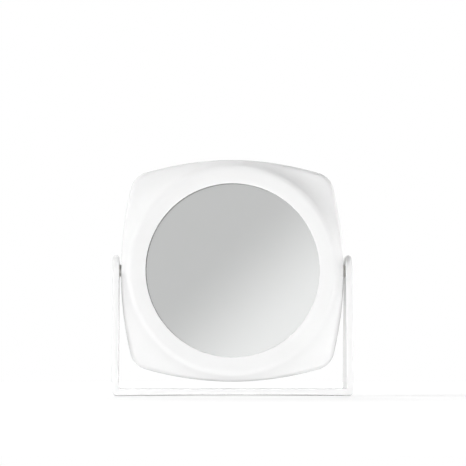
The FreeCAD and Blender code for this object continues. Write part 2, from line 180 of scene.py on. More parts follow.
# %% [markdown]
# ## Silvered float glass
#
# Each mirror is float glass, silvered on its back and painted over to protect the silver. From the front
# the eye sees the metal through the glass: a mirror that gives back eight tenths of the light, with the thin
# second reflection of the polished glass on top. It could be built as clear glass over a metal sheet, but
# then every ray has to find its way in and out. A smooth metal under a clear coat with the refractive index
# of glass looks the same. Clean glass is never quite even: a breath of haze, in patches of about 20 mm,
# softens it a little. The ground edge is greyish green, and the backing paint is a flat grey.

# %% Silvered face
def silvered_float_glass():
    """Silver seen through clear glass: a bright metal under a smooth coat, with a breath of haze."""
    finish, tree, place = new_finish("silvered_float_glass")
    haze = add_node(tree, "ShaderNodeTexNoise", {"Vector": place, "Scale": per_metre(20), "Detail": 4.0})
    colour = add_node(tree, "ShaderNodeMix", {
        "Factor": haze.outputs["Fac"], COLOUR_A: linear("#EBEDEC"), COLOUR_B: linear("#E8EAE9")},
        data_type="RGBA")
    polish = add_node(tree, "ShaderNodeMapRange", {
        "Value": haze.outputs["Fac"], "To Min": 0.005, "To Max": 0.03})
    shader = add_node(tree, "ShaderNodeBsdfPrincipled", {
        "Base Color": colour.outputs[COLOUR_RESULT], "Metallic": 1.0, "Roughness": polish.outputs["Result"],
        "Coat Weight": 1.0, "Coat IOR": 1.52, "Coat Roughness": 0.005})
    add_node(tree, "ShaderNodeOutputMaterial", {"Surface": shader.outputs["BSDF"]})
    return finish


silvered_face = silvered_float_glass()
print("made", silvered_face.name)

# %% Ground edge
def ground_glass_edge():
    """Grinding leaves a matt, greyish green edge. Its grit is drawn coarse, at 0.4 mm, so that it shows."""
    finish, tree, place = new_finish("ground_glass_edge")
    grit = add_node(tree, "ShaderNodeTexNoise", {"Vector": place, "Scale": per_metre(0.4), "Detail": 2.0})
    colour = add_node(tree, "ShaderNodeMix", {
        "Factor": grit.outputs["Fac"], COLOUR_A: linear("#AFC0B8"), COLOUR_B: linear("#C9D6D0")},
        data_type="RGBA")
    bite = add_node(tree, "ShaderNodeBump", {
        "Height": grit.outputs["Fac"], "Strength": 0.3, "Distance": 0.05 * MM})
    shader = add_node(tree, "ShaderNodeBsdfPrincipled", {
        "Base Color": colour.outputs[COLOUR_RESULT], "Roughness": 0.45, "IOR": 1.52,
        "Normal": bite.outputs["Normal"]})
    add_node(tree, "ShaderNodeOutputMaterial", {"Surface": shader.outputs["BSDF"]})
    return finish


ground_edge = ground_glass_edge()
print("made", ground_edge.name)

# %% Painted back
def mirror_backing_paint():
    """Backing paint is a flat grey with faint brush marks about 3 mm wide."""
    finish, tree, place = new_finish("mirror_backing_paint")
    brushing = add_node(tree, "ShaderNodeTexNoise", {"Vector": place, "Scale": per_metre(3), "Detail": 5.0})
    colour = add_node(tree, "ShaderNodeMix", {
        "Factor": brushing.outputs["Fac"], COLOUR_A: linear("#7C807F"), COLOUR_B: linear("#8C908F")},
        data_type="RGBA")
    shader = add_node(tree, "ShaderNodeBsdfPrincipled", {
        "Base Color": colour.outputs[COLOUR_RESULT], "Roughness": 0.7, "IOR": 1.5})
    add_node(tree, "ShaderNodeOutputMaterial", {"Surface": shader.outputs["BSDF"]})
    return finish


painted_back = mirror_backing_paint()
glass_finishes = [silvered_face, ground_edge, painted_back]
SILVERED, GROUND, PAINTED = range(len(glass_finishes))
print("made", painted_back.name)

# %% [markdown]
# ## Small hardware and packing
#
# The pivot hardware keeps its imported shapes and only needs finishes: zinc-plated steel for screws, nuts and
# spring washers, natural acetal for the bushes, and pressed fibre for the friction washers. Inside the head,
# closed-cell foam and a grey board press the glasses to their lips. Little of this shows, but it does in the
# gaps beside the head, so each finish has a short cell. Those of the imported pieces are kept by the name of
# the record's material slot.

# %% Zinc-plated steel
def zinc_plated_steel():
    """Bright zinc is a bluish metal with a fine crystalline mottle about 0.5 mm across."""
    finish, tree, place = new_finish("zinc_plated_steel")
    mottle = add_node(tree, "ShaderNodeTexVoronoi", {"Vector": place, "Scale": per_metre(0.5)})
    colour = add_node(tree, "ShaderNodeMix", {
        "Factor": mottle.outputs["Distance"], COLOUR_A: linear("#C3C7CA"), COLOUR_B: linear("#D5D8DA")},
        data_type="RGBA")
    dullness = add_node(tree, "ShaderNodeMapRange", {
        "Value": mottle.outputs["Distance"], "To Min": 0.28, "To Max": 0.4})
    shader = add_node(tree, "ShaderNodeBsdfPrincipled", {
        "Base Color": colour.outputs[COLOUR_RESULT], "Metallic": 1.0,
        "Roughness": dullness.outputs["Result"]})
    add_node(tree, "ShaderNodeOutputMaterial", {"Surface": shader.outputs["BSDF"]})
    return finish


hardware_finishes = {"plated_steel": zinc_plated_steel()}
print("made", hardware_finishes["plated_steel"].name)

# %% Natural acetal
def natural_acetal():
    """Turned acetal is waxy and slightly warm, with tool marks every 0.3 mm along the pivot axis."""
    finish, tree, place = new_finish("natural_acetal")
    tool_marks = add_node(tree, "ShaderNodeTexWave", {
        "Vector": place, "Scale": per_metre(0.3), "Distortion": 1.0}, bands_direction="X")
    colour = add_node(tree, "ShaderNodeMix", {
        "Factor": tool_marks.outputs["Fac"], COLOUR_A: linear("#E4E2DC"), COLOUR_B: linear("#ECEAE5")},
        data_type="RGBA")
    shader = add_node(tree, "ShaderNodeBsdfPrincipled", {
        "Base Color": colour.outputs[COLOUR_RESULT], "Roughness": 0.4, "IOR": 1.48})
    add_node(tree, "ShaderNodeOutputMaterial", {"Surface": shader.outputs["BSDF"]})
    return finish


hardware_finishes["bush_plastic"] = natural_acetal()
print("made", hardware_finishes["bush_plastic"].name)

# %% Pressed fibre
def pressed_fibre():
    """Bleached fibre is a dull off-white sheet with short matted threads about 0.6 mm long."""
    finish, tree, place = new_finish("pressed_fibre")
    threads = add_node(tree, "ShaderNodeTexNoise", {
        "Vector": place, "Scale": per_metre(0.6), "Detail": 6.0, "Distortion": 1.5})
    colour = add_node(tree, "ShaderNodeMix", {
        "Factor": threads.outputs["Fac"], COLOUR_A: linear("#E4E3DF"), COLOUR_B: linear("#F0EFEC")},
        data_type="RGBA")
    nap = add_node(tree, "ShaderNodeBump", {
        "Height": threads.outputs["Fac"], "Strength": 0.4, "Distance": 0.05 * MM})
    shader = add_node(tree, "ShaderNodeBsdfPrincipled", {
        "Base Color": colour.outputs[COLOUR_RESULT], "Roughness": 0.85, "IOR": 1.5,
        "Normal": nap.outputs["Normal"]})
    add_node(tree, "ShaderNodeOutputMaterial", {"Surface": shader.outputs["BSDF"]})
    return finish


hardware_finishes["washer_fibre"] = pressed_fibre()
print("made", hardware_finishes["washer_fibre"].name)

# %% Closed-cell foam
def closed_cell_foam():
    """Polyethylene foam shows as a soft off-white sponge of closed cells about 1 mm across."""
    finish, tree, place = new_finish("closed_cell_foam")
    cells = add_node(tree, "ShaderNodeTexVoronoi", {"Vector": place, "Scale": per_metre(1.0)})
    colour = add_node(tree, "ShaderNodeMix", {
        "Factor": cells.outputs["Distance"], COLOUR_A: linear("#CFCEC9"), COLOUR_B: linear("#E1E0DC")},
        data_type="RGBA")
    dimples = add_node(tree, "ShaderNodeBump", {
        "Height": cells.outputs["Distance"], "Strength": 0.8, "Distance": 0.4 * MM})
    shader = add_node(tree, "ShaderNodeBsdfPrincipled", {
        "Base Color": colour.outputs[COLOUR_RESULT], "Roughness": 0.9, "IOR": 1.5,
        "Normal": dimples.outputs["Normal"]})
    add_node(tree, "ShaderNodeOutputMaterial", {"Surface": shader.outputs["BSDF"]})
    return finish


soft_foam = closed_cell_foam()
print("made", soft_foam.name)

# %% Grey board
def grey_board():
    """Recycled board is a flat brownish grey, flecked by paper fibres about 2 mm long."""
    finish, tree, place = new_finish("grey_board")
    flecks = add_node(tree, "ShaderNodeTexNoise", {
        "Vector": place, "Scale": per_metre(2.0), "Detail": 8.0, "Roughness": 0.7})
    colour = add_node(tree, "ShaderNodeMix", {
        "Factor": flecks.outputs["Fac"], COLOUR_A: linear("#7E776C"), COLOUR_B: linear("#A19A8E")},
        data_type="RGBA")
    shader = add_node(tree, "ShaderNodeBsdfPrincipled", {
        "Base Color": colour.outputs[COLOUR_RESULT], "Roughness": 0.95, "IOR": 1.5})
    add_node(tree, "ShaderNodeOutputMaterial", {"Surface": shader.outputs["BSDF"]})
    return finish


hardware_finishes["core_board"] = grey_board()
print("made", hardware_finishes["core_board"].name)

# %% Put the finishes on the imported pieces
for subpart in frame["record"]["subparts"]:
    if subpart["material_slot"] in hardware_finishes:
        packed = frame["nodes"][subpart["node"]]
        packed.material_slots[0].material = hardware_finishes[subpart["material_slot"]]
        print(packed.name, "is finished in", packed.material_slots[0].material.name)

# %% [markdown]
# ## Meshes from rows of points
#
# Every new piece here is a net of points: rows that each run once round the piece, joined by four-sided
# faces. A turned form such as a glass is a row of circles. Blender has a spin tool and a screw modifier for
# this too, but plain rows also take the head, whose rows change from circles to a rounded square on the way
# out, and the stand, whose rows are sections along a bent strip.

# %% A piece from a net of points
def net_piece(name, rows, finishes, row_finish=None):
    """A piece through rows of points in millimetres. Each row is a closed loop of as many points."""
    rows = np.asarray(rows, float)
    count, columns = rows.shape[:2]
    faces = []
    for row in range(count - 1):
        for column in range(columns):
            here = row * columns + column
            beside = row * columns + (column + 1) % columns
            faces.append((here, here + columns, beside + columns, beside))
    mesh = bpy.data.meshes.new(name)
    mesh.from_pydata((rows.reshape(-1, 3) * MM).tolist(), [], faces)
    for finish in finishes:
        mesh.materials.append(finish)
    if row_finish:
        mesh.polygons.foreach_set("material_index", np.repeat(row_finish, columns))
    piece = bpy.data.objects.new(name, mesh)
    bpy.context.scene.collection.objects.link(piece)
    return piece


# %% Close, shade and place a piece
def close_piece(piece):
    """Merge the points that meet at poles and tips, and turn every face outwards."""
    touching = 0.001 * MM
    work = bmesh.new()
    work.from_mesh(piece.data)
    bmesh.ops.remove_doubles(work, verts=work.verts, dist=touching)
    bmesh.ops.dissolve_degenerate(work, edges=work.edges, dist=touching)
    bmesh.ops.recalc_face_normals(work, faces=work.faces)
    work.to_mesh(piece.data)
    work.free()


def apply_modifiers(piece):
    """Replace the mesh by what its modifiers make of it."""
    seen = piece.evaluated_get(bpy.context.evaluated_depsgraph_get())
    made = bpy.data.meshes.new_from_object(seen)
    piece.modifiers.clear()
    piece.data = made


def shade(piece, sharp_angle=35):
    """Smooth shading, with a crisp edge wherever two faces turn by more than the angle."""
    piece.data.shade_smooth()
    piece.data.set_sharp_from_angle(angle=math.radians(sharp_angle))
    print(piece.name, "has", len(piece.data.polygons), "faces")


def settle(piece, body, slot, *nodes):
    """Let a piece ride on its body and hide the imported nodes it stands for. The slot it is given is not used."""
    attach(piece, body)
    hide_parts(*nodes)


# %% [markdown]
# ## Lines with rounded corners
#
# Moulded sections are straight runs joined by arcs. This helper takes the corners of a line and the radius
# at each inner corner, and gives points along it. A Bevel modifier could round the corners later, but here
# each radius is exact. The arc's centre lies on the bisector of the corner, and its points are found by
# turning steadily from the one tangent point to the other.

# %% Rounded lines
def unit(vector):
    """The same direction, one unit long."""
    return vector / np.linalg.norm(vector)


def rounded_line(corners, radii, steps):
    """Points along a line whose inner corners are arcs of so many steps."""
    corners = [np.array(corner, float) for corner in corners]
    points = [corners[0]]
    for before, corner, after, radius in zip(corners, corners[1:], corners[2:], radii):
        back = unit(before - corner)
        ahead = unit(after - corner)
        half_angle = math.acos(np.dot(back, ahead)) / 2
        centre = corner + unit(back + ahead) * radius / math.sin(half_angle)
        start = corner + back * radius / math.tan(half_angle) - centre
        end = corner + ahead * radius / math.tan(half_angle) - centre
        turn = math.pi - 2 * half_angle
        for share in np.linspace(0, 1, steps + 1):
            swung = start * math.sin((1 - share) * turn) + end * math.sin(share * turn)
            points.append(centre + swung / math.sin(turn))
    return np.array(points + [corners[-1]])


def with_short_runs(points, longest):
    """The same line, with points added on its long straight runs."""
    filled = [points[0]]
    for start, end in zip(points, points[1:]):
        parts = math.ceil(np.linalg.norm(end - start) / longest)
        filled += [start + (end - start) * part / parts for part in range(1, parts + 1)]
    return np.array(filled)


print("a square corner of 1 mm:", rounded_line([(0, 0), (2, 0), (2, 2)], [1], 2).round(2).tolist())

# %% [markdown]
# ## The head's outline
#
# Seen from the front, the head is four shallow arcs joined by tighter corner arcs. A superellipse comes
# close, but its sides and corners can't be set apart. A corner arc touches both neighbours where its centre
# is one corner radius inside each, so two circles are intersected to find it. Each station keeps its arc's
# centre, radius and direction: the outline can then be moved inwards evenly.

# %% Stations round the head
side_arc = 272.0
top_arc = 235.0
corner_arc = 16.2
stations_per_arc = 14


def outline_stations():
    """The centre, radius and direction of the arc at each station, once round the head."""
    side_centre = Vector((head_half_width - side_arc, 0))
    top_centre = Vector((0, head_half_height - top_arc))
    meetings = geometry.intersect_sphere_sphere_2d(
        side_centre, side_arc - corner_arc, top_centre, top_arc - corner_arc)
    corner_centre = max(meetings, key=sum)
    side_end = math.atan2(*(corner_centre - side_centre).yx)
    top_start = math.atan2(*(corner_centre - top_centre).yx)
    arcs = [
        (side_centre, side_arc, 0, side_end), (corner_centre, corner_arc, side_end, top_start),
        (top_centre, top_arc, top_start, math.pi / 2)]
    quarter = [(*top_centre, top_arc, 0, 1)]
    for centre, radius, start, end in reversed(arcs):
        for turn in np.linspace(end, start, stations_per_arc + 1)[1:]:
            quarter.append((*centre, radius, math.cos(turn), math.sin(turn)))
    quarter = np.array(quarter[::-1])
    mirrored = (-1, 1, 1, -1, 1)
    half_turned = (-1, -1, 1, -1, -1)
    half = np.vstack([quarter, quarter[-2::-1] * mirrored])
    return np.vstack([half[:-1], half[:-1] * half_turned])


stations = outline_stations()
outward_sides = stations[:, 3:]


def outline_at(inset):
    """The outline's points, moved inwards by an even distance."""
    return stations[:, :2] + (stations[:, 2:3] - inset) * outward_sides


print("stations round the head:", len(stations))

# %% [markdown]
# ## Head shells
#
# The head is two shells that meet at a hairline gap. Near the glass every shell is a turned form: a lip, a
# sloping ring, a rounded shoulder and a hollow cove. Further out, flat wings run to the rounded-square rim.
# The rim is rounded as if a ball rolled along inside it. The ball's centre stays one ball radius in from the
# outline and one ball radius below the turned face, so both contact points follow from the section. A turned
# disc could be cut square and bevelled instead, but rows that flow from the ring to the rim shade more
# cleanly. Only the outer skin is built. A Solidify modifier gives it the moulding's wall, and a Bevel
# modifier breaks the sharp edges at the lip and along the parting line.

# %% Section of a shell, from the lip out to the wing's tip
lip_thickness = 1.75
mirror_view_radius = 65.0
lip_height = glass_face + lip_thickness
ring_corner = (77.4, 13.4)
cove_corner = (85.0, 6.8)
wing_tip = (101.0, 5.0)
shoulder_round = 6.5
cove_round = 20.0
rim_round = 3.9
parting_gap = 0.3
broken_edge = 0.3

section_corners = [(mirror_view_radius, lip_height), ring_corner, cove_corner, wing_tip]
section_rounds = [shoulder_round, cove_round]
fine_section = rounded_line(section_corners, section_rounds, steps=40)
ring_section = with_short_runs(rounded_line(section_corners, section_rounds, steps=7), longest=2.2)
print("section runs from", fine_section[0].round(1), "to", fine_section[-1].round(1))

# %% The ball that rounds the rim
cove_start = ring_corner[0] + shoulder_round / 2


def on_rays(rays, radii, heights):
    """Points at radii along the rays, at heights towards the front."""
    return np.column_stack([rays[:, 0] * radii, np.zeros(len(radii)) - heights, rays[:, 1] * radii])


def rolling_ball():
    """At each station: the ball's centre, its ray, how far out it meets the face, and its two contacts."""
    run = np.gradient(fine_section, axis=0)
    normals = np.column_stack([-run[:, 1], run[:, 0]]) / np.linalg.norm(run, axis=1)[:, None]
    beyond = fine_section[:, 0] > cove_start
    centres = (fine_section - rim_round * normals)[beyond]
    middle = outline_at(rim_round)
    reach = np.linalg.norm(middle, axis=1)
    height = np.interp(reach, centres[:, 0], centres[:, 1])
    lean = np.interp(reach, centres[:, 0], normals[beyond][:, 0])
    rays = middle / reach[:, None]
    to_face = np.column_stack([rays[:, 0] * lean, -np.sqrt(1 - lean ** 2), rays[:, 1] * lean])
    to_side = np.column_stack([outward_sides[:, 0], np.zeros(len(reach)), outward_sides[:, 1]])
    return on_rays(rays, reach, height), rays, reach + rim_round * lean, to_face, to_side


print("the ball meets the face", round(rolling_ball()[2].min(), 1), "mm or more from the middle")

# %% Rows of a shell's outer skin
cove_rows = 10
rim_rows = 9


def shell_rows():
    """Rows from the lip, over the ring and the cove, round the rim and down to the parting line."""
    ball, rays, contact, to_face, to_side = rolling_ball()
    level = np.ones(len(rays))
    rows = [on_rays(rays, radius * level, height) for radius, height in ring_section if radius < cove_start]
    for share in np.linspace(0, 1, cove_rows, endpoint=False):
        radii = cove_start + (contact - cove_start) * share
        rows.append(on_rays(rays, radii, np.interp(radii, fine_section[:, 0], fine_section[:, 1])))
    for share in np.linspace(0, 1, rim_rows):
        towards = to_face * (1 - share) + to_side * share
        rows.append(ball + rim_round * towards / np.linalg.norm(towards, axis=1)[:, None])
    foot = rows[-1].copy()
    foot[:, 1] = -parting_gap / 2
    rows += [(rows[-1] + foot) / 2, foot]
    return np.array(rows)


outer_skin = shell_rows()
print("rows and stations of a shell's skin:", outer_skin.shape[:2])

# %% Make the two shells
def head_shell(name, rows, node):
    """One half of the head: its outer skin, given the wall of the moulding."""
    shell = net_piece(name, rows + (0, 0, pivot_height), [white_polystyrene])
    wall = shell.modifiers.new("wall", "SOLIDIFY")
    wall.thickness = lip_thickness * MM
    wall.offset = -1
    edges = shell.modifiers.new("broken_edges", "BEVEL")
    edges.width = broken_edge * MM
    edges.segments = 2
    edges.angle_limit = math.radians(60)
    apply_modifiers(shell)
    shade(shell)
    settle(shell, "mirror_head", "head_plastic", node)


head_shell("front_half_shell", outer_skin, "front_shell")
head_shell("rear_half_shell", outer_skin * (-1, -1, 1), "rear_shell")

# %% [markdown]
# ## The two glasses
#
# The magnifying glass is a shallow dish: part of a sphere of 650 mm radius, which enlarges a face held close
# to it. The plain glass on the other side is flat. A slice of a sphere would give the face of the dish only.
# Turned forms give the rest too: they run from the middle of the front, over a small bevel and the ground
# edge, to the middle of the back. Reflections show every dent in a mesh, so the dish has many rings.

# %% Surfaces of the glasses
dish_radius = 650.0
dish_centre = glass_face + math.sqrt(dish_radius ** 2 - glass_radius ** 2)


def dish_height(radius, depth):
    """Height of the dish at a radius, at a depth behind its front."""
    return dish_centre - math.sqrt((dish_radius + depth) ** 2 - radius ** 2)


def flat_height(radius, depth):
    """Height of the flat glass at a depth behind its front: the same at every radius."""
    return glass_face - depth


print("the dish is", round(glass_face - dish_height(0, 0), 2), "mm deep")

# %% Make the glasses
bevel = 0.4
glass_columns = 160
face_rings = 28


def turned(profile, columns, place):
    """Rows of a turned form: each radius and height becomes a circle about an axis."""
    angles = np.linspace(0, 2 * math.pi, columns, endpoint=False)
    return [[place(radius, along, angle) for angle in angles] for radius, along in profile]


def about_glass(radius, height, angle):
    """A point on a circle about the line through the middle of both glasses."""
    return radius * math.cos(angle), -height, pivot_height + radius * math.sin(angle)


def glass_disc(name, surface, facing, node):
    """A glass whose surface gives the height at a radius and a depth. It faces the front or the back."""
    inside = np.linspace(0, glass_radius - bevel, face_rings)
    front = [(radius, surface(radius, 0)) for radius in inside]
    back = [(radius, surface(radius, glass_thickness)) for radius in inside[::-1]]
    edge = [(glass_radius, surface(glass_radius, bevel)),
            (glass_radius, surface(glass_radius, glass_thickness - bevel))]
    face_bands = face_rings - 1
    edge_bands = len(edge) + 1
    finishes = [SILVERED] * face_bands + [GROUND] * edge_bands + [PAINTED] * face_bands
    rows = np.array(turned(front + edge + back, glass_columns, about_glass)) * (1, facing, 1)
    glass = net_piece(name, rows, glass_finishes, finishes)
    close_piece(glass)
    shade(glass)
    settle(glass, "mirror_head", "silvered_glass", node)


glass_disc("magnifying_glass", dish_height, 1, "magnifying_mirror")
glass_disc("plain_glass", flat_height, -1, "plain_mirror")

# %% [markdown]
# ## Foam packing
#
# A die-cut foam ring fills the wedge between the rim of the dished glass and the board, and a foam disc lies
# behind the plain glass. Both are hidden in the head, but they are soft, so they are modelled here with the
# rounded edges that pressed foam has. Each is turned from its section.

# %% Make the foam packing
foam_ring_width = 15.0
foam_gap = 0.1
foam_edge = 0.4
foam_columns = 96
ring_high = corners_of("front_foam_ring")[1]
disc_low, disc_high = corners_of("rear_foam_disc")


def foam_piece(name, corners, rounds, node):
    """A foam piece turned from a section with rounded corners."""
    section = rounded_line(corners, rounds, steps=4)
    foam = net_piece(name, turned(section, foam_columns, about_glass), [soft_foam])
    close_piece(foam)
    shade(foam)
    settle(foam, "mirror_head", "packing_foam", node)


ring_inner = ring_high.x - foam_ring_width
ring_seat = -ring_high.y
glass_back = glass_thickness + foam_gap
wedge_top = [(radius, dish_height(radius, glass_back)) for radius in (ring_high.x, ring_inner)]
ring_start = (ring_high.x, (ring_seat + wedge_top[0][1]) / 2)
foam_piece(
    "foam_ring", [ring_start, *wedge_top, (ring_inner, ring_seat), (ring_high.x, ring_seat), ring_start],
    [foam_edge] * 4, "front_foam_ring")
foam_piece(
    "foam_disc",
    [(0, -disc_low.y), (disc_high.x, -disc_low.y), (disc_high.x, -disc_high.y), (0, -disc_high.y)],
    [foam_edge] * 2, "rear_foam_disc")

# %% [markdown]
# ## The stand
#
# The stand is one moulded strip, bent to a U: wide where it meets the table, narrower up the legs, and round
# at the tips. A bevelled curve would make an even strip, but this one changes its depth and its edges on the
# way, so it is built as sections across the strip. Each section has an outer and an inner point, seen from
# the front, and a half depth, and its four long edges are rounded. The base is hollowed underneath by a
# shallow arch, so it stands on its two ends only. At the tips the sections close up round the crown.

# %% Shape of the strip
strip_thickness = 5.0
base_height = 5.4
arch_rise = 0.9
foot_length = 10.0
outer_corner = 4.2
inner_corner = 1.0
under_round = 1.1
upper_round = 0.6
tip_round = 2.3
stand_half_depth = 21.0
outer_half = stand_high.x
inner_half = outer_half - strip_thickness
crown_radius = stand_high.z - pivot_height
arch_half = outer_half - outer_corner - foot_length
arch_radius = (arch_half ** 2 + arch_rise ** 2) / (2 * arch_rise)
leg_slant = math.atan2(-pivot_height, stand_half_depth) + math.acos(
    crown_radius / math.hypot(pivot_height, stand_half_depth))
leg_top = pivot_height + crown_radius * math.sin(leg_slant)
print("legs lean in by", round(math.degrees(leg_slant), 2), "degrees and end", round(leg_top, 1), "mm up")

# %% Places round a section
long_edges = {"outer": under_round, "inner": upper_round}
edge_points = 6
face_points = 9


def rounding(edge, side, face):
    """Places round one long edge: from the face, over the edge, to the strip's front or back."""
    turns = np.linspace(0, math.pi / 2, edge_points)
    return [(side, edge * (1 - math.sin(turn)), edge * (1 - math.cos(turn)), face) for turn in turns]


def section_loop(edges):
    """A section as places: how far across, inset from the edge, sunk below the face, and which face."""
    loop = []
    for side, face, other in [(1, "outer", "inner"), (-1, "inner", "outer")]:
        loop += [(side * across, edges[face], 0, face) for across in np.linspace(-1, 1, face_points)[:-1]]
        loop += rounding(edges[face], side, face)
        loop += rounding(edges[other], side, other)[:0:-1]
    return loop


print("points round a section:", len(section_loop(long_edges)))

# %% One section across the strip
full_round_turn = 1.0


def half_depth(height):
    """Half the strip's depth at a height, on the legs and the base."""
    leg_depth = crown_radius * math.cos(leg_slant)
    return stand_half_depth + (leg_depth - stand_half_depth) * height / leg_top


def section(outer, inner, crown_turn=None):
    """One section's points. On the crown, insets run towards the pivot, and the edges grow rounder
    up to full_round_turn, an angle in radians."""
    outer = np.array(outer)
    inner = np.array(inner)
    through = unit(inner - outer)
    edges = dict(long_edges)
    if crown_turn is not None:
        for face, edge in long_edges.items():
            edges[face] = np.interp(crown_turn, [leg_slant, full_round_turn], [edge, tip_round])
    points = []
    for across, inset, sunk, face in section_loop(edges):
        x, z = outer + through * sunk if face == "outer" else inner - through * sunk
        if crown_turn is None:
            depth = half_depth(z) - inset
        else:
            depth = (crown_radius - inset) * math.cos(crown_turn)
            z = pivot_height + (crown_radius - inset) * math.sin(crown_turn)
        points.append((x, across * depth, z))
    return points


# %% Sections from the middle of the base to the right-hand tip
arch_sections = 14
corner_sections = 9
leg_sections = 14
crown_sections = 13


def strip_sections():
    """Sections along the base, round the corner, up the leg and over the crown."""
    inner_run = (inner_half - inner_corner) / (outer_half - outer_corner)
    sections = []
    for x in [*np.linspace(0, arch_half, arch_sections), arch_half + foot_length / 2]:
        hollow = math.sqrt(arch_radius ** 2 - min(x, arch_half) ** 2) - arch_radius + arch_rise
        sections.append(section((x, hollow), (x * inner_run, base_height)))
    for turn in np.linspace(-math.pi / 2, 0, corner_sections):
        swing = np.array((math.cos(turn), 1 + math.sin(turn)))
        outer = np.array((outer_half - outer_corner, 0)) + swing * outer_corner
        inner = np.array((inner_half - inner_corner, base_height)) + swing * inner_corner
        sections.append(section(outer, inner))
    for share in np.linspace(0, 1, leg_sections + 1)[1:]:
        outer_z = outer_corner + (leg_top - outer_corner) * share
        inner_z = base_height + inner_corner + (leg_top - base_height - inner_corner) * share
        sections.append(section((outer_half, outer_z), (inner_half, inner_z)))
    for turn in np.linspace(leg_slant, math.pi / 2, crown_sections + 1)[1:]:
        sections.append(section((outer_half, leg_top), (inner_half, leg_top), turn))
    return np.array(sections)


right_half = strip_sections()
left_half = right_half[:0:-1] * (-1, 1, 1)
print("sections along the strip:", len(right_half) + len(left_half))

# %% [markdown]
# ## Pivot holes and caps
#
# Each leg is bored for the pivot: a hole for the bush, a wider bore for the screw head and a shallow recess
# for a snap-in cap that ends flush with the leg. The sections could be led round each hole, but a turned
# cutter, taken away with a Boolean modifier, is simpler and just as round. The cap is a turned lid with a
# softened edge and a short skirt.

# %% Sizes of the bore and the cap
cap_radius = cap_high.y
cap_fit = 0.1
lid_thickness = 1.0
skirt_radius = 4.75
skirt_wall = 0.55
lid_edge = 0.25
bush_radius = 3.0
bush_fit = 0.02
overshoot = 2.0
lid_seat = outer_half - lid_thickness
bore_floor = bush_high.x
print("cap", round(2 * cap_radius, 1), "mm across, seated", round(outer_half - lid_seat, 1), "mm deep")

# %% Bore the legs
pivot_columns = 64


def about_pivot(radius, along, angle):
    """A point on a circle about the pivot's axis."""
    return along, radius * math.cos(angle), pivot_height + radius * math.sin(angle)


def bore_cutter(name, side):
    """The stepped bore of one leg, as a solid."""
    bush_bore = bush_radius + bush_fit
    screw_bore = skirt_radius + cap_fit
    cap_bore = cap_radius + cap_fit
    steps = [
        (0, inner_half - overshoot), (bush_bore, inner_half - overshoot), (bush_bore, bore_floor),
        (screw_bore, bore_floor), (screw_bore, lid_seat), (cap_bore, lid_seat),
        (cap_bore, outer_half + overshoot), (0, outer_half + overshoot)]
    cutter = net_piece(name, np.array(turned(steps, pivot_columns, about_pivot)) * (side, 1, 1), [])
    close_piece(cutter)
    return cutter


# The stand's colour carries painted contact shade where it meets the table and the bushes.
stand = net_piece("moulded_stand", np.vstack([left_half, right_half]), [contact_shaded_polystyrene])
close_piece(stand)
for side, name in [(1, "right_bore"), (-1, "left_bore")]:
    cutter = bore_cutter(name, side)
    bore = stand.modifiers.new(name, "BOOLEAN")
    bore.object = cutter
    bore.solver = "EXACT"
    apply_modifiers(stand)
    bpy.data.objects.remove(cutter)
shade(stand)
settle(stand, "stand", "stand_plastic", "stand_yoke")

# %% Make the caps
def pivot_cap(name, side, node):
    """A snap-in cap: a lid with a softened edge, and a skirt behind it."""
    skirt_end = cap_low.x
    lid = rounded_line(
        [(0, outer_half), (cap_radius, outer_half), (cap_radius, lid_seat)], [lid_edge], steps=4)
    skirt = [(skirt_radius, lid_seat), (skirt_radius, skirt_end), (skirt_radius - skirt_wall, skirt_end),
             (skirt_radius - skirt_wall, lid_seat), (0, lid_seat)]
    rows = np.array(turned([*lid, *skirt], pivot_columns, about_pivot)) * (side, 1, 1)
    # The cap's colour carries painted contact shade round its seam.
    cap = net_piece(name, rows, [contact_shaded_polystyrene])
    close_piece(cap)
    shade(cap)
    settle(cap, "stand", "stand_plastic", node)


pivot_cap("right_snap_cap", 1, "right_pivot_cap")
pivot_cap("left_snap_cap", -1, "left_pivot_cap")

# %% [markdown]
# ## The studio floor
#
# The mirror was photographed on white, so the floor has to look white and still keep a soft shadow. A white
# sheet that is only lit never reaches full white beside a white object. So the floor is an opal sheet that
# shows the camera, directly or in a reflection, some light of its own, as a product photographer's light
# table does. The rest of its white is lit in the ordinary way and takes the shadow. The table's own light
# grows towards the edge, where less of the lamps' light falls, so the sheet looks evenly white. Everything
# else meets a plain white sheet, so the table adds no light of its own to the object. The disc ends one
# metre away, before the curved glass could mirror it.

# %% Make the opal acrylic
floor_radius = 1.0
middle_glow = 0.57
edge_glow = 0.86
glow_from = 0.15 * floor_radius
glow_to = 0.85 * floor_radius


